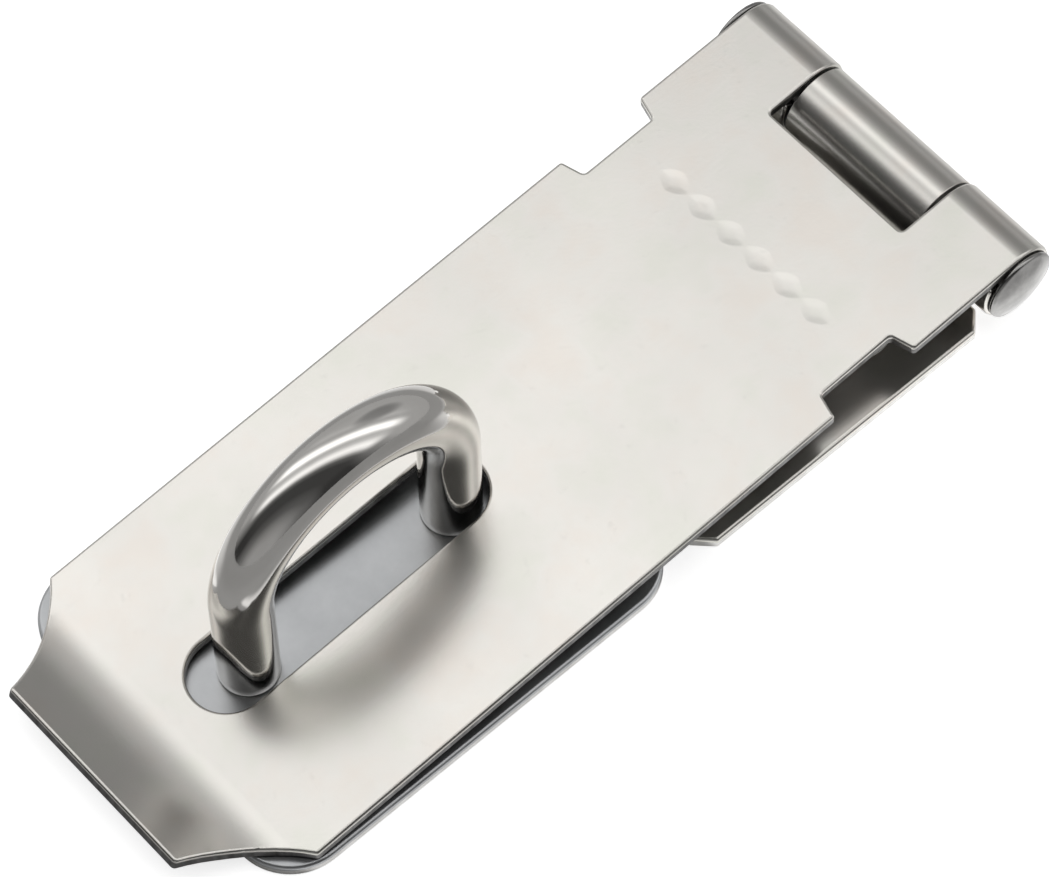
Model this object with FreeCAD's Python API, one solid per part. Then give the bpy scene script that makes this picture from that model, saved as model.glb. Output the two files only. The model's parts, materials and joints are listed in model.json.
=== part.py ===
import FreeCAD, Part
import math
import os

# Hasp and staple, millimetres and degrees.
# X runs along the hasp towards its hinge, Y along the hinge pin, Z up from the mounting face.
# Sub-parts are drawn with X measured from the pin's axis and moved to the model's origin last.

# Sheet metal
SHEET = 1.2
WIDTH = 38.0
FACE_GAP = 0.2

# Hinge barrel
HASP_KNUCKLE_R = 4.2
FIXED_KNUCKLE_R = 4.0
PIN_Z = HASP_KNUCKLE_R
PIN_CLEARANCE = 0.05
HEAD_R = 3.9
HEAD_GAP = 0.15
HEAD_RIM = 0.35
HEAD_DOME = 0.9
CURL_SWEEP = 305.0
KNUCKLE_W = 17.6
KNUCKLE_GAP = 0.3

# Hasp leaf, as distances from the pin's axis towards the tip
BEND_START = 88.8
LIP_REACH = 98.3
LIP_ANGLE = 22.0
LIP_BEND_R = 16.0
LIP_WIDTH = 23.4
LIP_CUT_START = 87.7
LIP_CUT_BOW = 1.1
LIP_CORNER_R = 0.5
SLOT_NEAR = 55.2
SLOT_FAR = 81.9
SLOT_R = 4.0
CUTOUT_REACH = 5.74
NOTCH_NEAR = 13.6
NOTCH_FAR = 23.8
NOTCH_DEPTH = 2.55
NOTCH_SLANT = 0.7

# Hinge leaf
HINGE_LEAF_NEAR = 3.5
HINGE_LEAF_FAR = 40.8
HINGE_LEAF_CHAMFER = 1.9
HINGE_LEAF_WIDTH = 38.4
TONGUE_SLOPE = 2.0
HINGE_SCREW_X = 23.0
HINGE_SCREW_PITCH_X = 19.0

# Staple and its plate
STAPLE_X = 67.4
STAPLE_WIRE_R = 3.0
STAPLE_HALF_SPAN = 12.4
STAPLE_SPRING_Z = 13.8
STAPLE_PLATE_LENGTH = 49.6
STAPLE_PLATE_WIDTH = 38.8
STAPLE_PLATE_CORNER_R = 6.0
STAPLE_SCREW_PITCH_X = 35.0
TENON_R = 2.2
RIVET_R = 3.0
RIVET_DEPTH = 0.7

# Screw holes, the same in both plates
SCREW_PITCH_Y = 22.0
SCREW_HOLE_R = 2.25
SCREW_HEAD_R = 3.6
SCREW_SINK = 0.9

# Drawing aids: overrun of the cutting shapes, and how near counts as touching
MARGIN = 5.0
TOUCH = 0.01


def resting_tilt():
    """Angle at which the closed hasp lies with its bend just above the staple plate."""
    underside = HASP_KNUCKLE_R - SHEET
    drop = PIN_Z - SHEET - FACE_GAP
    reach = math.hypot(BEND_START, underside)
    return math.degrees(math.asin(drop / reach) + math.atan2(underside, BEND_START))


TILT = resting_tilt()


def vec(x, y, z):
    return FreeCAD.Vector(x, y, z)


def polar_xz(radius, angle):
    return vec(radius * math.cos(math.radians(angle)), 0.0, radius * math.sin(math.radians(angle)))


def line(start, end):
    return Part.LineSegment(start, end).toShape()


def arc(start, middle, end):
    return Part.Arc(start, middle, end).toShape()


def extrude_y(edges, y_min, y_max):
    """Solid from a closed outline in the XZ plane."""
    face = Part.Face(Part.Wire(edges))
    face.translate(vec(0.0, y_min, 0.0))
    return face.extrude(vec(0.0, y_max - y_min, 0.0))


def extrude_z(edges, z_min, z_max):
    """Solid from a closed outline in the XY plane."""
    face = Part.Face(Part.Wire(edges))
    face.translate(vec(0.0, 0.0, z_min))
    return face.extrude(vec(0.0, 0.0, z_max - z_min))


def box(x_min, x_max, y_min, y_max, z_min, z_max):
    return Part.makeBox(x_max - x_min, y_max - y_min, z_max - z_min, vec(x_min, y_min, z_min))


def curl_edges(outer_r, first_angle, sweep):
    """Outer arc, end face and inner arc of a sheet curled round the pin."""
    bore_r = outer_r - SHEET
    last = first_angle + sweep
    middle = first_angle + sweep / 2.0
    outer = arc(polar_xz(outer_r, first_angle), polar_xz(outer_r, middle), polar_xz(outer_r, last))
    end = line(polar_xz(outer_r, last), polar_xz(bore_r, last))
    inner = arc(polar_xz(bore_r, last), polar_xz(bore_r, middle), polar_xz(bore_r, first_angle))
    return [outer, end, inner]


def lip_point(turn, offset):
    """Point on the lip's bend, at an angle into the bend and at a depth under its top face."""
    radius = LIP_BEND_R + offset
    x = -BEND_START - radius * math.sin(math.radians(turn))
    z = HASP_KNUCKLE_R + LIP_BEND_R - radius * math.cos(math.radians(turn))
    return vec(x, 0.0, z)


def lip_end(offset):
    """End of the lip's side view, past the place where the plan cuts it off."""
    start = lip_point(LIP_ANGLE, 0.0)
    slope = math.radians(LIP_ANGLE)
    run = LIP_REACH - BEND_START
    along = vec(-math.cos(slope), 0.0, math.sin(slope))
    down = vec(-math.sin(slope), 0.0, -math.cos(slope))
    return start + along * run + down * offset


def hasp_profile():
    """Side view of the hasp leaf, from the curled barrel to the raised lip."""
    top = [
        line(lip_end(0.0), lip_point(LIP_ANGLE, 0.0)),
        arc(lip_point(LIP_ANGLE, 0.0), lip_point(LIP_ANGLE / 2.0, 0.0), lip_point(0.0, 0.0)),
        line(lip_point(0.0, 0.0), polar_xz(HASP_KNUCKLE_R, 90.0)),
    ]
    underside = [
        line(polar_xz(HASP_KNUCKLE_R - SHEET, 90.0), lip_point(0.0, SHEET)),
        arc(lip_point(0.0, SHEET), lip_point(LIP_ANGLE / 2.0, SHEET), lip_point(LIP_ANGLE, SHEET)),
        line(lip_point(LIP_ANGLE, SHEET), lip_end(SHEET)),
        line(lip_end(SHEET), lip_end(0.0)),
    ]
    return top + curl_edges(HASP_KNUCKLE_R, 90.0, -CURL_SWEEP) + underside


def hasp_outline():
    """Plan of the hasp leaf: side notches, and concave cuts down to the narrow lip."""
    half = WIDTH / 2.0
    lip_half = LIP_WIDTH / 2.0
    inner = half - NOTCH_DEPTH
    start = vec(-LIP_CUT_START, half, 0.0)
    end = vec(-LIP_REACH, lip_half, 0.0)
    chord = end - start
    bow = vec(chord.y, -chord.x, 0.0).normalize() * -LIP_CUT_BOW
    cut_middle = (start + end) * 0.5 + bow
    side = [
        vec(HASP_KNUCKLE_R + MARGIN, half, 0.0),
        vec(-NOTCH_NEAR, half, 0.0),
        vec(-NOTCH_NEAR - NOTCH_SLANT, inner, 0.0),
        vec(-NOTCH_FAR + NOTCH_SLANT, inner, 0.0),
        vec(-NOTCH_FAR, half, 0.0),
        start,
    ]

    def mirrored(point):
        return vec(point.x, -point.y, 0.0)

    def half_edges(place):
        edges = [line(place(a), place(b)) for a, b in zip(side, side[1:])]
        edges.append(arc(place(start), place(cut_middle), place(end)))
        return edges

    def keep(point):
        return point

    far = half_edges(keep)
    near = half_edges(mirrored)
    joins = [line(end, mirrored(end)), line(mirrored(side[0]), side[0])]
    return Part.__sortEdges__(far + near + joins)


def stadium(x_min, x_max, radius, z_min, z_max):
    """Round-ended slot along X."""
    edges = [
        line(vec(x_min, radius, 0.0), vec(x_max, radius, 0.0)),
        arc(vec(x_max, radius, 0.0), vec(x_max + radius, 0.0, 0.0), vec(x_max, -radius, 0.0)),
        line(vec(x_max, -radius, 0.0), vec(x_min, -radius, 0.0)),
        arc(vec(x_min, -radius, 0.0), vec(x_min - radius, 0.0, 0.0), vec(x_min, radius, 0.0)),
    ]
    return extrude_z(edges, z_min, z_max)


def round_lip_corners(leaf):
    """Ease the two free corners of the lip."""
    corners = []
    for edge in leaf.Edges:
        ends = [vertex.Point for vertex in edge.Vertexes]
        at_tip = max(point.x for point in ends) < TOUCH - LIP_REACH
        upright = abs(ends[0].y - ends[-1].y) < TOUCH
        if at_tip and upright:
            corners.append(edge)
    return leaf.makeFillet(LIP_CORNER_R, corners)


def make_hasp_leaf():
    """Hasp leaf with two curled knuckles, staple slot, side notches and raised lip."""
    leaf = extrude_y(hasp_profile(), -WIDTH / 2.0, WIDTH / 2.0)
    low = -HASP_KNUCKLE_R - MARGIN
    high = HASP_KNUCKLE_R + 2.0 * MARGIN
    leaf = leaf.common(extrude_z(hasp_outline(), low, high))
    cutout_half = KNUCKLE_W / 2.0 + KNUCKLE_GAP
    leaf = leaf.cut(box(-CUTOUT_REACH, HASP_KNUCKLE_R + MARGIN, -cutout_half, cutout_half, low, high))
    leaf = leaf.cut(stadium(-SLOT_FAR, -SLOT_NEAR, SLOT_R, 0.0, high))
    leaf = round_lip_corners(leaf)
    leaf.rotate(vec(0.0, 0.0, 0.0), vec(0.0, 1.0, 0.0), -TILT)
    leaf.translate(vec(0.0, 0.0, PIN_Z))
    return leaf


def screw_holes(centre_x, pitch_x):
    """Countersunk holes at the corners of a rectangle, for a plate lying on Z = 0."""
    holes = []
    for x in (centre_x - pitch_x / 2.0, centre_x + pitch_x / 2.0):
        for y in (-SCREW_PITCH_Y / 2.0, SCREW_PITCH_Y / 2.0):
            holes.append(Part.makeCylinder(SCREW_HOLE_R, SHEET + 2.0, vec(x, y, -1.0)))
            sink_base = vec(x, y, SHEET - SCREW_SINK)
            holes.append(Part.makeCone(SCREW_HOLE_R, SCREW_HEAD_R, SCREW_SINK, sink_base))
    return holes


def make_hinge_leaf():
    """Fixed leaf lying on the door, with one knuckle curled up round the pin."""
    half = HINGE_LEAF_WIDTH / 2.0
    cut = HINGE_LEAF_CHAMFER
    far = -HINGE_LEAF_FAR
    near = -HINGE_LEAF_NEAR
    corners = [
        vec(near - cut, half, 0.0),
        vec(near, half - cut, 0.0),
        vec(near, cut - half, 0.0),
        vec(near - cut, -half, 0.0),
        vec(far + cut, -half, 0.0),
        vec(far, cut - half, 0.0),
        vec(far, half - cut, 0.0),
        vec(far + cut, half, 0.0),
    ]
    edges = [line(a, b) for a, b in zip(corners, corners[1:] + corners[:1])]
    plate = extrude_z(edges, 0.0, SHEET)
    first = TONGUE_SLOPE - 90.0
    outer_start = polar_xz(FIXED_KNUCKLE_R, first)
    inner_start = polar_xz(FIXED_KNUCKLE_R - SHEET, first)
    slope = math.tan(math.radians(TONGUE_SLOPE))
    ramp_end = outer_start.x - (outer_start.z + PIN_Z) / slope
    base = vec(ramp_end, 0.0, -PIN_Z)
    top = vec(ramp_end, 0.0, SHEET - PIN_Z)
    profile = curl_edges(FIXED_KNUCKLE_R, first, CURL_SWEEP)
    profile.append(line(inner_start, top))
    profile.append(line(top, base))
    profile.append(line(base, outer_start))
    knuckle = extrude_y(Part.__sortEdges__(profile), -KNUCKLE_W / 2.0, KNUCKLE_W / 2.0)
    knuckle.translate(vec(0.0, 0.0, PIN_Z))
    leaf = plate.fuse(knuckle).removeSplitter()
    return leaf.cut(screw_holes(-HINGE_SCREW_X, HINGE_SCREW_PITCH_X))


def make_hinge_pin():
    """Pin with a domed head at each end, and a waist gripped by the fixed knuckle."""
    shank_r = HASP_KNUCKLE_R - SHEET - PIN_CLEARANCE
    waist_r = FIXED_KNUCKLE_R - SHEET
    waist = KNUCKLE_W / 2.0
    under_head = WIDTH / 2.0 + HEAD_GAP
    rim = under_head + HEAD_RIM
    end = rim + HEAD_DOME
    dome_r = (HEAD_R ** 2 + HEAD_DOME ** 2) / (2.0 * HEAD_DOME)
    half_turn = math.asin(HEAD_R / dome_r) / 2.0
    dome_middle = vec(dome_r * math.sin(half_turn), end - dome_r * (1.0 - math.cos(half_turn)), 0.0)
    corners = [
        vec(waist_r, 0.0, 0.0),
        vec(waist_r, waist, 0.0),
        vec(shank_r, waist, 0.0),
        vec(shank_r, under_head, 0.0),
        vec(HEAD_R, under_head, 0.0),
        vec(HEAD_R, rim, 0.0),
    ]
    edges = [line(a, b) for a, b in zip(corners, corners[1:])]
    edges.append(arc(corners[-1], dome_middle, vec(0.0, end, 0.0)))
    edges.append(line(vec(0.0, end, 0.0), vec(0.0, 0.0, 0.0)))
    edges.append(line(vec(0.0, 0.0, 0.0), corners[0]))
    face = Part.Face(Part.Wire(edges))
    half_pin = face.revolve(vec(0.0, 0.0, 0.0), vec(0.0, 1.0, 0.0), 360.0)
    other_half = half_pin.mirror(vec(0.0, 0.0, 0.0), vec(0.0, 1.0, 0.0))
    pin = half_pin.fuse(other_half).removeSplitter()
    pin.translate(vec(0.0, 0.0, PIN_Z))
    return pin


def make_staple():
    """Round bar bent to a U, with tenons through the plate, flared flush underneath."""
    left = -STAPLE_HALF_SPAN
    right = STAPLE_HALF_SPAN
    crown = STAPLE_SPRING_Z + STAPLE_HALF_SPAN
    path = Part.Wire([
        line(vec(left, 0.0, SHEET), vec(left, 0.0, STAPLE_SPRING_Z)),
        arc(vec(left, 0.0, STAPLE_SPRING_Z), vec(0.0, 0.0, crown), vec(right, 0.0, STAPLE_SPRING_Z)),
        line(vec(right, 0.0, STAPLE_SPRING_Z), vec(right, 0.0, SHEET)),
    ])
    section = Part.Wire(Part.makeCircle(STAPLE_WIRE_R, vec(left, 0.0, SHEET), vec(0.0, 0.0, 1.0)))
    bar = path.makePipeShell([section], True, True)
    for x in (left, right):
        tenon = Part.makeCylinder(TENON_R, SHEET, vec(x, 0.0, 0.0))
        flare = Part.makeCone(RIVET_R, TENON_R, RIVET_DEPTH, vec(x, 0.0, 0.0))
        bar = bar.fuse([tenon, flare])
    bar = bar.removeSplitter()
    bar.translate(vec(-STAPLE_X, 0.0, 0.0))
    return bar


def make_staple_plate(staple):
    """Plate that carries the staple, with rounded corners and four countersunk holes."""
    half_x = STAPLE_PLATE_LENGTH / 2.0
    half_y = STAPLE_PLATE_WIDTH / 2.0
    plate = box(-half_x, half_x, -half_y, half_y, 0.0, SHEET)
    upright = []
    for edge in plate.Edges:
        rise = abs(edge.Vertexes[0].Z - edge.Vertexes[-1].Z)
        if rise > TOUCH:
            upright.append(edge)
    plate = plate.makeFillet(STAPLE_PLATE_CORNER_R, upright)
    plate.translate(vec(-STAPLE_X, 0.0, 0.0))
    return plate.cut([staple] + screw_holes(-STAPLE_X, STAPLE_SCREW_PITCH_X))


def origin_shift(solids):
    """Move to the middle of the closed hasp, on its mounting face."""
    bounds = FreeCAD.BoundBox()
    for solid in solids:
        bounds.add(solid.optimalBoundingBox())
    return vec(-(bounds.XMin + bounds.XMax) / 2.0, 0.0, 0.0)


def main():
    os.makedirs("parts", exist_ok=True)
    staple = make_staple()
    nodes = {
        "hasp_leaf": make_hasp_leaf(),
        "hinge_leaf": make_hinge_leaf(),
        "hinge_pin": make_hinge_pin(),
        "staple_plate": make_staple_plate(staple),
        "staple": staple,
    }
    shift = origin_shift(nodes.values())
    for name, shape in nodes.items():
        if shape.ShapeType == "Compound" and len(shape.Solids) == 1:
            shape = shape.Solids[0]
        shape.translate(shift)
        shape.exportStep("parts/" + name + ".step")
        print(name, len(shape.Solids), shape.isValid(), round(shape.Volume, 1), shape.BoundBox)
    print("pin axis at x", round(shift.x, 3), "z", PIN_Z, "tilt", round(TILT, 3))


main()
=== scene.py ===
import json
import math

import bmesh
import bpy
from mathutils import Matrix, Vector
from mathutils.geometry import tessellate_polygon


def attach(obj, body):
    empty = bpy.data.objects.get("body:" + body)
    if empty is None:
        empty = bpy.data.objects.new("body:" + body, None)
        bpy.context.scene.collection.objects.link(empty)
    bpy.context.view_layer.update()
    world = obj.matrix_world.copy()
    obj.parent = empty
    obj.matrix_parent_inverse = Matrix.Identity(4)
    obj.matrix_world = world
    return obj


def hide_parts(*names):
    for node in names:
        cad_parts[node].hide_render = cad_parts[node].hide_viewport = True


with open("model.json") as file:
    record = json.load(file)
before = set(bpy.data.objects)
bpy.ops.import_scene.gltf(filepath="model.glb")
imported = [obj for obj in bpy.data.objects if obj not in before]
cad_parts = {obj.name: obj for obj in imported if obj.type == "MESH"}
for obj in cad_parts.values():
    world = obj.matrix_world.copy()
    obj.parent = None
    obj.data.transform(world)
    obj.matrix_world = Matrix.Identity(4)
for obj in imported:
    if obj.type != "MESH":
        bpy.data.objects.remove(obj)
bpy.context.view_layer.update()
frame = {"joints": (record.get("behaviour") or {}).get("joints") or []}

MM = 0.001

HINGE = next(joint for joint in frame["joints"] if joint["name"] == "hasp_hinge")
PIN_AXIS = Vector(HINGE["pos_m"])

# Dimensions shared by the pieces, in millimetres and radians
SHEET = 1.2
HALF_WIDTH = 19.0
PIN_Z = PIN_AXIS.z / MM
CURL = math.radians(305.0)

# Hasp leaf: distances along its top face, from above the pin towards the tip
HASP_R = 4.2
CURL_END = -HASP_R * CURL
TILT = math.radians(3.741)
CUTOUT_REACH = 5.74
CUTOUT_HALF_WIDTH = 9.1
NOTCH_NEAR = 13.6
NOTCH_FAR = 23.8
NOTCH_SLANT = 0.7
NOTCH_Y = 16.45
DIMPLES = 6
DIMPLES_AT = 17.5
DIMPLE_PITCH = 3.9
DIMPLE_HALF_X = 1.35
DIMPLE_HALF_Y = 1.9
SLOT_NEAR = 55.2
SLOT_FAR = 81.9
SLOT_R = 4.0
SLOT_Y = 0.2
CUT_START = 87.7
BEND_START = 88.8
BEND_R = 16.0
BEND_TURN = math.radians(21.0)
BEND_END = BEND_START + BEND_R * BEND_TURN
LIP_R = 110.0
TIP = 98.33
TIP_HALF_WIDTH = 11.7
SIDE_BOW = 1.15

# Hinge leaf: distances along its underside, from the pin's plumb line, away from the tip positive
KNUCKLE_R = 4.0
KNUCKLE_HALF_WIDTH = 8.8
TONGUE_SLOPE = math.radians(2.0)
TONGUE_START = -5.66
TONGUE_END = 0.14
FIRST = TONGUE_SLOPE - math.radians(90.0)
LEAF_NEAR = -3.5
LEAF_FAR = -40.8
LEAF_HALF_WIDTH = 19.2
LEAF_CHAMFER = 1.9
LEAF_SCREWS_AT = -23.0
LEAF_SCREW_PITCH = 19.0

# Staple and its plate: STAPLE_X from the pin's axis to their middle, the rest from that middle
STAPLE_X = 67.4
WIRE_R = 3.0
HALF_SPAN = 12.4
SPRING_Z = 13.8
CROWN_STEPS = 96
PLATE_HALF_LENGTH = 24.8
PLATE_HALF_WIDTH = 19.4
PLATE_CORNER_R = 6.0
PLATE_SCREW_PITCH = 35.0
TENON_R = 2.2

# Screw holes in both lower plates
SCREW_Y = 11.0
SCREW_R = 2.25

# Hinge pin
HEAD_R = 3.9
HEAD_DOME = 0.9
HEAD_TOP = 20.4
SHANK_R = 2.95
WAIST_R = 2.8


# ---------------------------------------------------------------- node helpers

class Graph:
    """Short helper around a material's node tree."""

    def __init__(self, tree):
        self.tree = tree

    def node(self, kind, **settings):
        made = self.tree.nodes.new(kind)
        for name, value in settings.items():
            setattr(made, name, value)
        return made

    def link(self, source, target):
        self.tree.links.new(source, target)

    def feed(self, socket, value):
        if isinstance(value, bpy.types.NodeSocket):
            self.link(value, socket)
        else:
            socket.default_value = value

    def position(self, scale=(1.0, 1.0, 1.0)):
        coord = self.node("ShaderNodeTexCoord")
        mapping = self.node("ShaderNodeMapping")
        mapping.inputs["Scale"].default_value = scale
        self.link(coord.outputs["Object"], mapping.inputs["Vector"])
        return mapping.outputs["Vector"]

    def noise(self, vector, scale, detail=3.0, roughness=0.5):
        made = self.node("ShaderNodeTexNoise")
        made.inputs["Scale"].default_value = scale
        made.inputs["Detail"].default_value = detail
        made.inputs["Roughness"].default_value = roughness
        self.link(vector, made.inputs["Vector"])
        return made.outputs["Fac"]

    def ramp(self, value, stops):
        made = self.node("ShaderNodeValToRGB")
        ramp = made.color_ramp
        while len(ramp.elements) < len(stops):
            ramp.elements.new(0.5)
        for element, (place, colour) in zip(ramp.elements, stops):
            element.position = place
            element.color = (*colour, 1.0)
        self.link(value, made.inputs["Fac"])
        return made.outputs["Color"]

    def remap(self, value, low, high, out_low, out_high, kind="LINEAR"):
        made = self.node("ShaderNodeMapRange", interpolation_type=kind)
        names = ("From Min", "From Max", "To Min", "To Max")
        for name, number in zip(names, (low, high, out_low, out_high)):
            made.inputs[name].default_value = number
        self.link(value, made.inputs["Value"])
        return made.outputs["Result"]

    def smooth(self, *numbers):
        return self.remap(*numbers, kind="SMOOTHSTEP")

    def dot(self, vector, direction):
        made = self.node("ShaderNodeVectorMath", operation="DOT_PRODUCT")
        self.link(vector, made.inputs[0])
        made.inputs[1].default_value = direction
        return made.outputs["Value"]

    def math(self, operation, a, b=0.0):
        made = self.node("ShaderNodeMath", operation=operation)
        self.feed(made.inputs[0], a)
        self.feed(made.inputs[1], b)
        return made.outputs["Value"]

    def mix(self, factor, a, b):
        made = self.node("ShaderNodeMix", data_type="RGBA")
        self.feed(made.inputs["Factor"], factor)
        self.feed(made.inputs["A"], a if isinstance(a, bpy.types.NodeSocket) else (*a, 1.0))
        self.feed(made.inputs["B"], b if isinstance(b, bpy.types.NodeSocket) else (*b, 1.0))
        return made.outputs["Result"]

    def bump(self, height, strength, distance, under=None):
        made = self.node("ShaderNodeBump")
        made.inputs["Strength"].default_value = strength
        made.inputs["Distance"].default_value = distance
        self.link(height, made.inputs["Height"])
        if under is not None:
            self.link(under, made.inputs["Normal"])
        return made.outputs["Normal"]


def new_metal(name):
    """Empty metallic material: its graph, its shader and the material."""
    material = bpy.data.materials.new(name)
    material.use_nodes = True
    material.node_tree.nodes.clear()
    graph = Graph(material.node_tree)
    shader = graph.node("ShaderNodeBsdfPrincipled")
    output = graph.node("ShaderNodeOutputMaterial")
    graph.link(shader.outputs["BSDF"], output.inputs["Surface"])
    shader.inputs["Metallic"].default_value = 1.0
    return graph, shader, material


# ------------------------------------------------------------------- materials

def satin_sheet():
    """Polished side of the sheet: soft satin with fine rolling lines along X and faint stains."""
    graph, shader, material = new_metal("satin_stainless")
    place = graph.position()
    clouds = graph.noise(place, 62.0, 4.0, 0.55)
    warm = [(0.32, (0.715, 0.677, 0.630)), (0.50, (0.715, 0.695, 0.657)), (0.68, (0.693, 0.686, 0.633))]
    tint = graph.ramp(graph.noise(place, 150.0, 4.0, 0.55), warm)
    specks = graph.noise(place, 900.0, 3.0, 0.65)
    tint = graph.mix(graph.remap(specks, 0.62, 0.74, 0.0, 0.10), tint, (0.45, 0.43, 0.40))
    graph.link(tint, shader.inputs["Base Color"])
    graph.link(graph.remap(clouds, 0.3, 0.7, 0.225, 0.265), shader.inputs["Roughness"])
    lines = graph.noise(graph.position((40.0, 2500.0, 2500.0)), 1.0, 2.0, 0.6)
    grain = graph.noise(place, 2600.0, 2.0, 0.6)
    wave = graph.noise(place, 40.0, 2.0, 0.4)
    normal = graph.bump(wave, 0.10, 0.0004)
    normal = graph.bump(lines, 0.08, 0.00002, normal)
    normal = graph.bump(grain, 0.12, 0.00002, normal)
    graph.link(normal, shader.inputs["Normal"])
    return material


def cut_edge(name, darkest, lightest):
    """Cut edge of the sheet, with shear marks through the thickness; darkest and lightest set its overall
    tone, dark for painted shade and pale for painted light.
    """
    graph, shader, material = new_metal(name)
    place = graph.position()
    marks = graph.noise(graph.position((900.0, 900.0, 60.0)), 1.0, 3.0, 0.6)
    tones = [
        (0.35, (darkest, darkest * 0.98, darkest * 0.95)),
        (0.65, (lightest, lightest * 0.99, lightest * 0.97)),
    ]
    graph.link(graph.ramp(marks, tones), shader.inputs["Base Color"])
    spots = graph.noise(place, 800.0, 2.0, 0.5)
    graph.link(graph.remap(spots, 0.3, 0.7, 0.36, 0.50), shader.inputs["Roughness"])
    graph.link(graph.bump(marks, 0.4, 0.00004), shader.inputs["Normal"])
    return material


def painted_shade_mill_side():
    """Back of the sheet: dull unpolished mill finish in its roughness, with its colour darkened as painted
    shade under the hasp, darker than the front.
    """
    graph, shader, material = new_metal("painted_shade_mill_side")
    place = graph.position()
    clouds = graph.noise(place, 110.0, 5.0, 0.6)
    # Dark base tones: painted shade under the hasp leaf, varied at random by the clouds.
    tones = [(0.35, (0.26, 0.258, 0.252)), (0.65, (0.36, 0.357, 0.35))]
    graph.link(graph.ramp(clouds, tones), shader.inputs["Base Color"])
    graph.link(graph.remap(clouds, 0.3, 0.7, 0.38, 0.52), shader.inputs["Roughness"])
    lines = graph.noise(graph.position((40.0, 2000.0, 2000.0)), 1.0, 2.0, 0.6)
    normal = graph.bump(lines, 0.2, 0.00003)
    graph.link(graph.bump(graph.noise(place, 1600.0), 0.2, 0.00003, normal), shader.inputs["Normal"])
    return material


def bright_sheet():
    """Bright cold-rolled sheet under the hasp: glossier and a little bluer."""
    graph, shader, material = new_metal("bright_stainless")
    place = graph.position()
    clouds = graph.noise(place, 160.0, 4.0, 0.6)
    tones = [(0.35, (0.46, 0.47, 0.48)), (0.65, (0.56, 0.57, 0.58))]
    graph.link(graph.ramp(clouds, tones), shader.inputs["Base Color"])
    graph.link(graph.remap(clouds, 0.3, 0.7, 0.285, 0.35), shader.inputs["Roughness"])
    wave = graph.noise(place, 90.0, 2.0, 0.4)
    scratch = graph.noise(graph.position((60.0, 3000.0, 3000.0)), 1.0, 2.0, 0.6)
    normal = graph.bump(wave, 0.3, 0.0003)
    normal = graph.bump(scratch, 0.1, 0.00002, normal)
    graph.link(normal, shader.inputs["Normal"])
    return material


def polished_bar():
    """Mirror-polished bar with the faintest haze and polishing waves."""
    graph, shader, material = new_metal("polished_stainless")
    place = graph.position()
    haze = graph.noise(place, 220.0, 3.0, 0.6)
    tones = [(0.3, (0.72, 0.70, 0.67)), (0.7, (0.79, 0.773, 0.745))]
    graph.link(graph.ramp(haze, tones), shader.inputs["Base Color"])
    graph.link(graph.remap(haze, 0.3, 0.75, 0.05, 0.11), shader.inputs["Roughness"])
    wave = graph.noise(place, 110.0, 2.0, 0.4)
    graph.link(graph.bump(wave, 0.25, 0.0003), shader.inputs["Normal"])
    return material


def drawn_pin():
    """Drawn wire with cut and slightly hammered ends."""
    graph, shader, material = new_metal("drawn_stainless")
    place = graph.position()
    spots = graph.noise(place, 500.0, 4.0, 0.6)
    tones = [(0.35, (0.28, 0.276, 0.27)), (0.65, (0.40, 0.395, 0.385))]
    graph.link(graph.ramp(spots, tones), shader.inputs["Base Color"])
    graph.link(graph.remap(spots, 0.3, 0.7, 0.16, 0.26), shader.inputs["Roughness"])
    grain = graph.noise(place, 1400.0, 2.0, 0.6)
    normal = graph.bump(graph.noise(place, 350.0), 0.25, 0.0002)
    graph.link(graph.bump(grain, 0.2, 0.00003, normal), shader.inputs["Normal"])
    return material


# ------------------------------------------------- sheet metal: blank, then bend

def offset_loop(points, inset):
    """Closed 2-D loop moved to its left, into the metal, with mitred corners."""
    moved = []
    count = len(points)
    for i, point in enumerate(points):
        before = (point - points[i - 1]).normalized()
        after = (points[(i + 1) % count] - point).normalized()
        left_a = Vector((-before.y, before.x))
        left_b = Vector((-after.y, after.x))
        moved.append(point + (left_a + left_b) * (inset / (1.0 + left_a.dot(left_b))))
    return moved


def soften_corners(points, radius, count=4):
    """Every sharp corner of a loop replaced by an arc, smaller where the sides are short."""
    slightest_turn = 0.30
    soft = []
    for i, point in enumerate(points):
        back = points[i - 1] - point
        ahead = points[(i + 1) % len(points)] - point
        turn = back.angle(-ahead)
        if turn < slightest_turn:
            soft.append(point)
            continue
        reach = min(radius * math.tan(turn / 2.0), back.length * 0.45, ahead.length * 0.45)
        arc_r = reach / math.tan(turn / 2.0)
        start = point + back.normalized() * reach
        side = math.copysign(1.0, ahead.x * back.y - ahead.y * back.x)
        inward = Vector((back.y, -back.x)).normalized() * side
        centre = start + inward * arc_r
        for step in range(count + 1):
            angle = side * turn * step / count
            c, d = math.cos(angle), math.sin(angle)
            outward = Vector((-inward.x * c + inward.y * d, -inward.x * d - inward.y * c))
            soft.append(centre + outward * arc_r)
    return soft


def circle(x, y, radius, count=48):
    """Clockwise loop, for a hole."""
    turns = [-2.0 * math.pi * i / count for i in range(count)]
    return [Vector((x + radius * math.cos(a), y + radius * math.sin(a))) for a in turns]


def edge_levels(thickness, top_ease, bottom_ease):
    """Inset and depth of the rings that carry the metal round a cut edge."""
    side = 1.0 - math.sqrt(0.5)
    return [
        (top_ease, 0.0), (side * top_ease, side * top_ease), (0.0, top_ease),
        (0.0, thickness - bottom_ease), (side * bottom_ease, thickness - side * bottom_ease),
        (bottom_ease, thickness),
    ]


def lozenge(x, y, half_x, half_y, count=32):
    """Clockwise rounded lozenge, the outline of one punched dimple."""
    pinch = 0.35
    loop = []
    for i in range(count):
        angle = -2.0 * math.pi * i / count
        c, d = math.cos(angle), math.sin(angle)
        loop.append(Vector((x + half_x * c * abs(c) ** pinch, y + half_y * d * abs(d) ** pinch)))
    return loop


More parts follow.
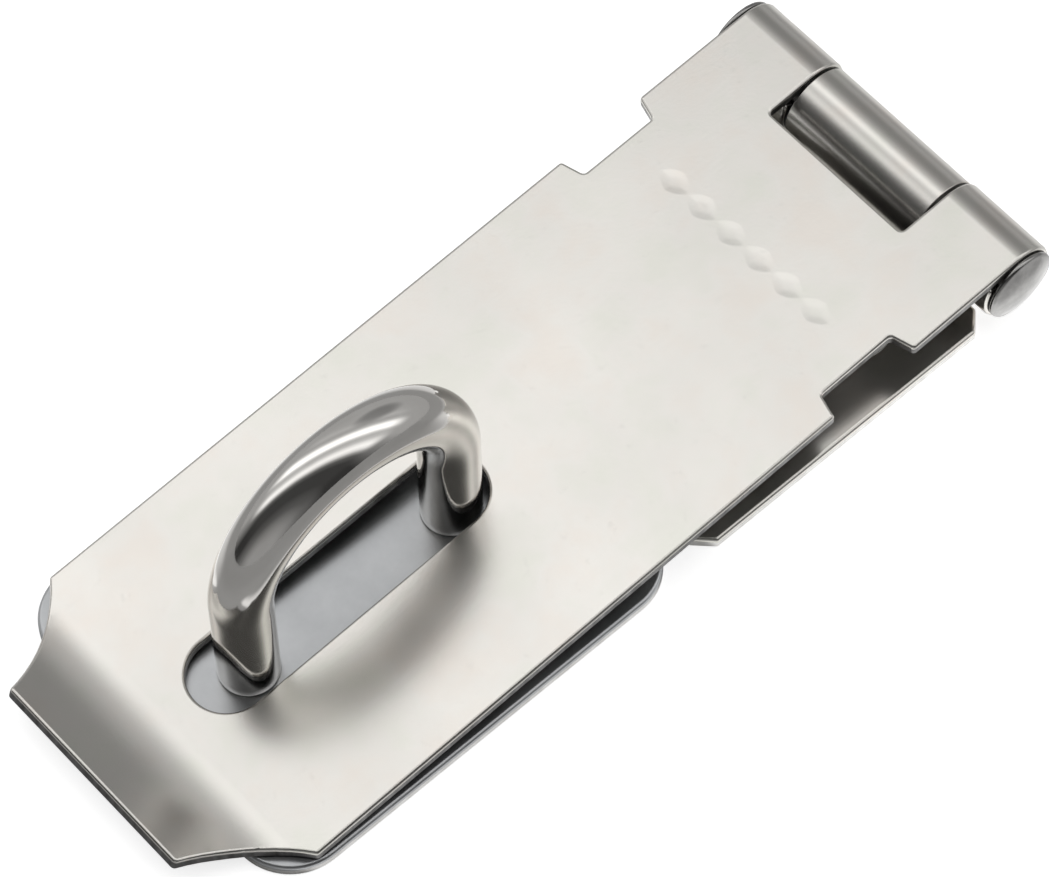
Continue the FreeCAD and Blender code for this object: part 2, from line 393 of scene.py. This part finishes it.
# How a blank's faces are painted, and how strongly they lead the shading of shared corners
FRONT, EDGE, BACK = 0, 1, 2
EASE, SIDE, BROAD = 0, 1, 2
FRONT_DEPTH = 0.5
BACK_DEPTH = 0.7
SIDE_DEPTH = 0.3
DIMPLE_RINGS = ((1.0, 0.0), (0.88, 0.004), (0.60, 0.022), (0.30, 0.030))


class Blank:
    """Flat sheet under construction: points with their depth, and painted, ranked faces."""

    def __init__(self):
        self.points = []
        self.faces = []
        self.paint = []
        self.ranks = []

    def ring(self, loop, depth):
        first = len(self.points)
        self.points.extend((p.x, p.y, depth) for p in loop)
        return range(first, first + len(loop))

    def face(self, corners, paint, rank):
        self.faces.append(tuple(corners))
        self.paint.append(paint)
        self.ranks.append(rank)

    def band(self, upper, lower, paint, rank):
        for i in range(len(upper)):
            j = (i + 1) % len(upper)
            self.face((upper[i], upper[j], lower[j], lower[i]), paint, rank)

    def cut_edge(self, loop, levels):
        """Rings of metal down one cut edge, from the front face to the back."""
        rings = [self.ring(offset_loop(loop, inset), depth) for inset, depth in levels]
        for level, (upper, lower) in enumerate(zip(rings, rings[1:])):
            depth, next_depth = levels[level][1], levels[level + 1][1]
            paint = FRONT if next_depth < FRONT_DEPTH else (BACK if depth > BACK_DEPTH else EDGE)
            self.band(upper, lower, paint, SIDE if next_depth - depth > SIDE_DEPTH else EASE)
        return rings

    def dimple(self, loop):
        """Shallow punch mark closed by its own bottom."""
        centre = sum(loop, Vector((0.0, 0.0))) / len(loop)
        rings = []
        for share, depth in DIMPLE_RINGS:
            rings.append(self.ring([centre + (p - centre) * share for p in loop], depth))
        for upper, lower in zip(rings, rings[1:]):
            self.band(upper, lower, FRONT, EASE)
        self.face(rings[-1], FRONT, EASE)
        return rings

    def broad_face(self, rings, paint):
        """Flat face between an outline, its holes and its dimples."""
        order = [index for ring in rings for index in ring]
        flat = [[Vector((*self.points[index][:2], 0.0)) for index in ring] for ring in rings]
        for triangle in tessellate_polygon(flat):
            self.face((order[i] for i in triangle), paint, BROAD)


def bent_sheet(name, loops, path, cuts, marks=()):
    """Blank with eased edges and punched dimples, cut across at many stations and bent along a path."""
    blank = Blank()
    edges = [blank.cut_edge(loop, levels) for loop, levels in loops]
    punched = [blank.dimple(loop) for loop in marks]
    blank.broad_face([rings[0] for rings in edges + punched], FRONT)
    blank.broad_face([rings[-1] for rings in edges], BACK)

    work = bmesh.new()
    made = [work.verts.new(point) for point in blank.points]
    rank_of = work.faces.layers.int.new("rank")
    for corners, slot, rank in zip(blank.faces, blank.paint, blank.ranks):
        face = work.faces.new([made[i] for i in corners])
        face.material_index = slot
        face[rank_of] = rank
        face.smooth = True
    for cut in cuts:
        everything = work.verts[:] + work.edges[:] + work.faces[:]
        plane = {"plane_co": (cut, 0.0, 0.0), "plane_no": (1.0, 0.0, 0.0)}
        bmesh.ops.bisect_plane(work, geom=everything, dist=1e-5, **plane)
    for vertex in work.verts:
        along, across, depth = vertex.co
        spot, inward = path(along)
        vertex.co = at(spot[0] + inward[0] * depth, across, spot[1] + inward[1] * depth)
    bmesh.ops.recalc_face_normals(work, faces=work.faces[:])
    normals = [leading_normal(vertex, rank_of) for vertex in work.verts]
    mesh = bpy.data.meshes.new(name)
    work.to_mesh(mesh)
    work.free()
    mesh.normals_split_custom_set_from_vertices(normals)
    piece = bpy.data.objects.new(name, mesh)
    bpy.context.scene.collection.objects.link(piece)
    return piece


def leading_normal(vertex, rank_of):
    """Shading normal from the faces of highest rank round a vertex; none where only eases meet."""
    best = max(face[rank_of] for face in vertex.link_faces)
    total = Vector((0.0, 0.0, 0.0))
    if best > EASE:
        for face in vertex.link_faces:
            if face[rank_of] == best:
                total += face.normal * face.calc_area()
        total.normalize()
    return total


def steps(start, end, count):
    return [start + (end - start) * i / count for i in range(count + 1)]


def at(x, y, z):
    """Millimetres from the hinge pin's axis, the middle and the mounting face, in the frame's metres."""
    return Vector((PIN_AXIS.x + x * MM, y * MM, z * MM))


def polar(radius, angle):
    return (radius * math.cos(angle), radius * math.sin(angle))


def turned(point):
    """Hasp side view drawn level, turned down about the pin to its closed position."""
    x, z = point
    return (x * math.cos(TILT) - z * math.sin(TILT), x * math.sin(TILT) + z * math.cos(TILT))


def hasp_path(along):
    """Top face of the hasp and the direction into the metal."""
    if along < 0.0:
        angle = math.pi / 2.0 + along / HASP_R
        spot = polar(HASP_R, angle)
        inward = polar(-1.0, angle)
    elif along < BEND_START:
        spot = (-along, HASP_R)
        inward = (0.0, -1.0)
    else:
        turn = min((along - BEND_START) / BEND_R, BEND_TURN)
        rest = max(along - BEND_END, 0.0) / LIP_R
        x = -BEND_START - BEND_R * math.sin(turn) - LIP_R * (math.sin(turn + rest) - math.sin(turn))
        z = HASP_R + BEND_R * (1.0 - math.cos(turn)) + LIP_R * (math.cos(turn) - math.cos(turn + rest))
        spot = (x, z)
        inward = (-math.sin(turn + rest), -math.cos(turn + rest))
    spot = turned(spot)
    return (spot[0], spot[1] + PIN_Z), turned(inward)


def hasp_outline():
    """Blank of the hasp leaf, anticlockwise: two barrel tongues, notches, and the narrow lip."""
    start = Vector((CUT_START, HALF_WIDTH))
    far = [
        Vector((CUTOUT_REACH, CUTOUT_HALF_WIDTH)), Vector((CURL_END, CUTOUT_HALF_WIDTH)),
        Vector((CURL_END, HALF_WIDTH)), Vector((NOTCH_NEAR, HALF_WIDTH)),
        Vector((NOTCH_NEAR + NOTCH_SLANT, NOTCH_Y)), Vector((NOTCH_FAR - NOTCH_SLANT, NOTCH_Y)),
        Vector((NOTCH_FAR, HALF_WIDTH)), start,
    ]
    end = Vector((TIP, TIP_HALF_WIDTH))
    inward = Vector((-0.568, -0.823))
    middle = (start + end) * 0.5 + inward * SIDE_BOW
    for step in range(1, 10):
        t = step / 10.0
        control = middle * 2.0 - (start + end) * 0.5
        far.append(start * (1.0 - t) ** 2 + control * (2.0 * t * (1.0 - t)) + end * t ** 2)
    far.append(end)
    near = [Vector((p.x, -p.y)) for p in reversed(far)]
    return list(reversed(soften_corners(far + near, 0.45)))


def hasp_slot():
    """Clockwise round-ended slot that the staple comes through."""
    slot = []
    for centre, first in ((SLOT_FAR, 90.0), (SLOT_NEAR, -90.0)):
        for step in range(33):
            angle = math.radians(first - 180.0 * step / 32)
            slot.append(Vector((centre + SLOT_R * math.cos(angle), SLOT_Y + SLOT_R * math.sin(angle))))
    return slot


def make_hasp_leaf():
    levels = edge_levels(SHEET, top_ease=0.34, bottom_ease=0.12)
    loops = [(hasp_outline(), levels), (hasp_slot(), levels)]
    cuts = steps(CURL_END, 0.0, 72) + steps(BEND_START, BEND_END, 10) + steps(BEND_END, TIP, 8)[1:]
    rows = [DIMPLE_PITCH * (i - (DIMPLES - 1) / 2.0) for i in range(DIMPLES)]
    marks = [lozenge(DIMPLES_AT, y, DIMPLE_HALF_X, DIMPLE_HALF_Y) for y in rows]
    return bent_sheet("hasp_leaf_sheet", loops, hasp_path, cuts, marks)


def hinge_path(along):
    """Underside of the hinge leaf and the direction into the metal."""
    start = polar(KNUCKLE_R, FIRST)
    if along > start[0]:
        angle = FIRST + (along - start[0]) / KNUCKLE_R
        spot = polar(KNUCKLE_R, angle)
        return (spot[0], spot[1] + PIN_Z), polar(-1.0, angle)
    drop = (start[0] - along) * math.tan(TONGUE_SLOPE)
    return (along, max(PIN_Z + start[1] - drop, 0.0)), (0.0, 1.0)


def screw_loops(centre_x, pitch_x, wide_first):
    """Four 4.5 mm holes, countersunk to about 7.2 mm and eased at the rim, as inset and depth."""
    sunk = [(1.45, 0.0), (1.33, 0.05), (0.0, 0.9), (0.0, SHEET - 0.08), (0.08, SHEET)]
    if not wide_first:
        sunk = [(inset, SHEET - depth) for inset, depth in reversed(sunk)]
    loops = []
    for x in (centre_x - pitch_x / 2.0, centre_x + pitch_x / 2.0):
        for y in (-SCREW_Y, SCREW_Y):
            loops.append((circle(x, y, SCREW_R), sunk))
    return loops


def make_hinge_leaf():
    end = polar(KNUCKLE_R, FIRST)[0] + KNUCKLE_R * CURL
    shoulder_y = LEAF_HALF_WIDTH - LEAF_CHAMFER
    half = [
        Vector((end, KNUCKLE_HALF_WIDTH)), Vector((LEAF_NEAR, KNUCKLE_HALF_WIDTH)),
        Vector((LEAF_NEAR, shoulder_y)), Vector((LEAF_NEAR - LEAF_CHAMFER, LEAF_HALF_WIDTH)),
        Vector((LEAF_FAR + LEAF_CHAMFER, LEAF_HALF_WIDTH)), Vector((LEAF_FAR, shoulder_y)),
    ]
    outline = soften_corners(half + [Vector((p.x, -p.y)) for p in reversed(half)], 0.4)
    loops = [(outline, edge_levels(SHEET, top_ease=0.08, bottom_ease=0.42))]
    loops += screw_loops(LEAF_SCREWS_AT, LEAF_SCREW_PITCH, False)
    cuts = steps(TONGUE_START, TONGUE_END, 4) + steps(TONGUE_END, end, 72)
    return bent_sheet("hinge_leaf_sheet", loops, hinge_path, cuts)


def make_staple_plate():
    """Flat plate with rounded corners, screw holes and two holes for the staple's tenons."""
    signs = ((-1.0, -1.0), (1.0, -1.0), (1.0, 1.0), (-1.0, 1.0))
    corners = [Vector((a * PLATE_HALF_LENGTH, b * PLATE_HALF_WIDTH)) for a, b in signs]
    outline = soften_corners(corners, PLATE_CORNER_R, 16)
    loops = [(outline, edge_levels(SHEET, top_ease=0.42, bottom_ease=0.08))]
    loops += screw_loops(0.0, PLATE_SCREW_PITCH, True)
    flared = [(0.02, 0.0), (0.02, 0.5), (0.82, SHEET)]
    loops += [(circle(x, 0.0, TENON_R), flared) for x in (-HALF_SPAN, HALF_SPAN)]

    def flat(along):
        return (along - STAPLE_X, SHEET), (0.0, -1.0)

    return bent_sheet("staple_plate_sheet", loops, flat, [])


# ------------------------------------------------------------------ round pieces

def tube(name, stations, count):
    """Closed skin through circles, each given as its centre, radius and two cross directions."""
    points = []
    faces = []
    for centre, radius, side, up in stations:
        for i in range(count):
            angle = 2.0 * math.pi * i / count
            points.append(centre + (side * math.cos(angle) + up * math.sin(angle)) * radius)
    for row in range(len(stations) - 1):
        for i in range(count):
            j = (i + 1) % count
            a, b = row * count, (row + 1) * count
            faces.append((a + i, a + j, b + j, b + i))
    faces.append(tuple(range(count)))
    faces.append(tuple(range((len(stations) - 1) * count, len(stations) * count)))
    mesh = bpy.data.meshes.new(name)
    work = bmesh.new()
    made = [work.verts.new(at(*point)) for point in points]
    for corners in faces:
        work.faces.new([made[i] for i in corners]).smooth = True
    bmesh.ops.recalc_face_normals(work, faces=work.faces[:])
    work.to_mesh(mesh)
    work.free()
    piece = bpy.data.objects.new(name, mesh)
    bpy.context.scene.collection.objects.link(piece)
    normals = piece.modifiers.new("normals", "WEIGHTED_NORMAL")
    normals.keep_sharp = False
    normals.weight = 100
    return piece


def make_staple():
    """Polished bar bent to a U: flared tenons, shoulders on the plate, straight legs and a round crown."""
    # Height above the mounting face, and radius
    foot = [(0.02, 2.90), (0.10, 2.98), (0.68, 2.18), (1.21, 2.18), (1.21, 2.80), (1.29, 2.95)]
    leg = foot + [(1.45, WIRE_R)] + [(z, WIRE_R) for z in steps(2.4, SPRING_Z, 12)]
    middle = Vector((-STAPLE_X, 0.0, 0.0))
    crown_centre = middle + Vector((0.0, 0.0, SPRING_Z))
    across = Vector((0.0, 1.0, 0.0))
    right = Vector((1.0, 0.0, 0.0))
    stations = []
    for z, radius in leg:
        stations.append((middle + Vector((-HALF_SPAN, 0.0, z)), radius, right, across))
    for step in range(1, CROWN_STEPS):
        angle = math.pi * (1.0 - step / CROWN_STEPS)
        out = Vector((math.cos(angle), 0.0, math.sin(angle)))
        stations.append((crown_centre + out * HALF_SPAN, WIRE_R, -out, across))
    for z, radius in reversed(leg):
        stations.append((middle + Vector((HALF_SPAN, 0.0, z)), radius, -right, across))
    return tube("staple_bar", stations, 72)


def make_pin():
    """Hinge pin: a domed head at each end, and a waist inside the fixed knuckle."""
    # Distance across from the middle, and radius
    profile = []
    dome_r = (HEAD_R ** 2 + HEAD_DOME ** 2) / (2.0 * HEAD_DOME)
    for share in (0.02, 0.2, 0.4, 0.55, 0.7, 0.82, 0.92):
        radius = HEAD_R * share
        profile.append((dome_r - HEAD_TOP - math.sqrt(dome_r ** 2 - radius ** 2), radius))
    profile += [(-19.60, 3.80), (-19.48, 3.88), (-19.36, HEAD_R), (-19.20, 3.88), (-19.15, 3.82)]
    profile += [(-19.15, SHANK_R), (-8.85, SHANK_R), (-KNUCKLE_HALF_WIDTH, WAIST_R)]
    profile += [(-y, radius) for y, radius in reversed(profile)]
    side = Vector((1.0, 0.0, 0.0))
    up = Vector((0.0, 0.0, 1.0))
    stations = [(Vector((0.0, y, PIN_Z)), radius, side, up) for y, radius in profile]
    return tube("hinge_pin_bar", stations, 64)


# ------------------------------------------------------------------ the pieces

def dress(piece, node, body, slot, *materials):
    """Give a piece its materials and its body, and hide the CAD node it stands for."""
    for material in materials:
        piece.data.materials.append(material)
    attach(piece, body)
    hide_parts(node)


def make_pieces():
    satin = satin_sheet()
    # Dark copy of the cut edge: painted shade on the hasp leaf's edges.
    shade_painted_edge = cut_edge("painted_shade_edge", 0.12, 0.25)
    # Pale copy of the cut edge: painted light on the hinge leaf's and staple plate's edges.
    light_painted_edge = cut_edge("painted_light_edge", 0.66, 0.78)
    bright = bright_sheet()
    # Dark back of the sheet: painted shade under the hasp leaf.
    shade_painted_back = painted_shade_mill_side()
    dress(make_hasp_leaf(), "hasp_leaf", "hasp", "satin_stainless", satin, shade_painted_edge, shade_painted_back)
    dress(make_hinge_leaf(), "hinge_leaf", "hinge_base", "satin_stainless", satin, light_painted_edge, satin)
    dress(make_pin(), "hinge_pin", "hinge_base", "drawn_stainless", drawn_pin())
    dress(make_staple_plate(), "staple_plate", "staple_unit", "bright_stainless", bright, light_painted_edge, shade_painted_back)
    dress(make_staple(), "staple", "staple_unit", "polished_stainless", polished_bar())


# ---------------------------------------------------------------------- studio

def floor_layer(graph, colour, glow):
    """Matt floor paint with a glow of its own."""
    shader = graph.node("ShaderNodeBsdfPrincipled")
    shader.inputs["Base Color"].default_value = colour
    shader.inputs["Roughness"].default_value = 0.9
    shader.inputs["Specular IOR Level"].default_value = 0.0
    shader.inputs["Emission Color"].default_value = (1.0, 1.0, 1.0, 1.0)
    graph.feed(shader.inputs["Emission Strength"], glow)
    return shader.outputs["BSDF"]


def near_glow(graph):
    """Glow of the floor round the hardware: a wide pool on its lit side, a bright rim along it."""
    coord = graph.node("ShaderNodeTexCoord")
    parts = graph.node("ShaderNodeSeparateXYZ")
    graph.link(coord.outputs["Object"], parts.inputs["Vector"])
    across = graph.math("ABSOLUTE", parts.outputs["Y"])
    squares = []
    for name, half in (("X", 0.051), ("Y", 0.020)):
        away = graph.math("SUBTRACT", graph.math("ABSOLUTE", parts.outputs[name]), half)
        beyond = graph.math("MAXIMUM", away, 0.0)
        squares.append(graph.math("MULTIPLY", beyond, beyond))
    distance = graph.math("SQRT", graph.math("ADD", *squares))
    pool = graph.smooth(distance, 0.004, 0.050, 0.52, 0.04)
    lit_side = graph.smooth(graph.dot(coord.outputs["Object"], (0.6, 0.8, 0.0)), -0.025, 0.008, 0.08, 1.0)
    rim = graph.smooth(distance, 0.001, 0.008, 0.60, 0.0)
    outside = graph.smooth(across, 0.0187, 0.0195, 0.0, 1.0)
    return graph.math("ADD", graph.math("MULTIPLY", pool, lit_side), graph.math("MULTIPLY", rim, outside))


def make_floor():
    """Plain pale floor that the mounting faces lie on, white to the camera and dimmer to its mirrors."""
    mesh = bpy.data.meshes.new("floor")
    half = 3.0
    height = -0.00002
    signs = ((-1.0, -1.0), (1.0, -1.0), (1.0, 1.0), (-1.0, 1.0))
    mesh.from_pydata([(half * a, half * b, height) for a, b in signs], [], [(0, 1, 2, 3)])
    floor = bpy.data.objects.new("floor", mesh)
    bpy.context.scene.collection.objects.link(floor)
    material = bpy.data.materials.new("floor_white")
    material.use_nodes = True
    material.node_tree.nodes.clear()
    graph = Graph(material.node_tree)
    seen = floor_layer(graph, (0.9, 0.9, 0.9, 1.0), 0.74)
    thrown = floor_layer(graph, (0.55, 0.55, 0.55, 1.0), near_glow(graph))
    eye = graph.node("ShaderNodeLightPath")
    mix = graph.node("ShaderNodeMixShader")
    output = graph.node("ShaderNodeOutputMaterial")
    graph.link(eye.outputs["Is Camera Ray"], mix.inputs["Fac"])
    graph.link(thrown, mix.inputs[1])
    graph.link(seen, mix.inputs[2])
    graph.link(mix.outputs["Shader"], output.inputs["Surface"])
    mesh.materials.append(material)


def sky_lobe(graph, sky, direction, inner, outer, strength):
    """Soft round patch of the sky: full within inner degrees of direction, none past outer."""
    low = math.cos(math.radians(outer))
    high = math.cos(math.radians(inner))
    return graph.smooth(graph.dot(sky, Vector(direction).normalized()), low, high, 0.0, strength)


# Level of the studio light, as (share, level): a direction's share is its part along ACROSS
ACROSS = Vector((0.789, 0.614, 0.0))
STRIPS = [
    (-0.92, 0.28), (-0.76, 0.11), (-0.58, 0.055), (-0.34, 0.055), (-0.24, 0.13), (-0.18, 0.42),
    (-0.12, 1.00), (-0.05, 1.30), (0.02, 1.05), (0.09, 0.68), (0.18, 0.55), (0.24, 0.75),
    (0.30, 1.45), (0.38, 1.60), (0.44, 1.25), (0.50, 0.60), (0.57, 0.44), (0.67, 0.55),
    (0.76, 0.46), (0.90, 0.42),
]
HORIZON = [(-0.95, 0.34), (-0.80, 0.16), (-0.60, 0.04), (-0.40, 0.04), (-0.15, 0.25), (0.05, 0.42)]


def level_ramp(graph, share, stops):
    """Brightness looked up along a share that runs from -1 to 1, kept under top inside the ramp."""
    top = 2.0
    place = graph.remap(share, -1.0, 1.0, 0.0, 1.0)
    grey = [((where + 1.0) / 2.0, (level / top,) * 3) for where, level in stops]
    return graph.math("MULTIPLY", graph.ramp(place, grey), top)


def make_world():
    """Studio: long soft strip lights on one side, a dark side behind the camera, a dim horizon."""
    world = bpy.data.worlds.new("studio")
    bpy.context.scene.world = world
    world.use_nodes = True
    world.node_tree.nodes.clear()
    graph = Graph(world.node_tree)
    coord = graph.node("ShaderNodeTexCoord")
    parts = graph.node("ShaderNodeSeparateXYZ")
    graph.link(coord.outputs["Generated"], parts.inputs["Vector"])
    sky = coord.outputs["Generated"]
    share = graph.dot(sky, ACROSS)
    low = graph.smooth(parts.outputs["Z"], 0.55, 0.20, 0.0, 1.0)
    high = graph.math("SUBTRACT", 1.0, low)
    strips = graph.math("MULTIPLY", level_ramp(graph, share, STRIPS), high)
    horizon = graph.math("MULTIPLY", level_ramp(graph, share, HORIZON), low)
    open_sky = graph.math("SUBTRACT", 1.0, sky_lobe(graph, sky, (0.74, 0.37, 0.56), 8.0, 22.0, 0.45))
    level = graph.math("MULTIPLY", graph.math("ADD", strips, horizon), open_sky)
    background = graph.node("ShaderNodeBackground")
    output = graph.node("ShaderNodeOutputWorld")
    graph.link(level, background.inputs["Strength"])
    background.inputs["Color"].default_value = (1.0, 1.0, 1.0, 1.0)
    graph.link(background.outputs["Background"], output.inputs["Surface"])


def make_camera():
    """The three-quarter view from above the tip's near corner."""
    data = bpy.data.cameras.new("camera")
    camera = bpy.data.objects.new("camera", data)
    bpy.context.scene.collection.objects.link(camera)
    bpy.context.scene.camera = camera
    data.sensor_width = 36.0
    data.lens = 172.96
    azimuth, elevation, roll = (math.radians(a) for a in (-40.956, 60.472, -1.106))
    aim = at(-44.470, 1.530, 0.0)
    distance = 475.42 * MM
    level = math.cos(elevation)
    back = Vector((math.sin(azimuth) * level, -math.cos(azimuth) * level, math.sin(elevation)))
    camera.location = aim + back * distance
    look = (-back).to_track_quat("-Z", "Y")
    camera.rotation_mode = "QUATERNION"
    camera.rotation_quaternion = look @ Matrix.Rotation(roll, 3, "Z").to_quaternion()
    data.clip_start = 0.01
    data.clip_end = 20.0


bpy.context.scene.view_settings.view_transform = "Standard"
make_camera()
make_world()
make_floor()
make_pieces()
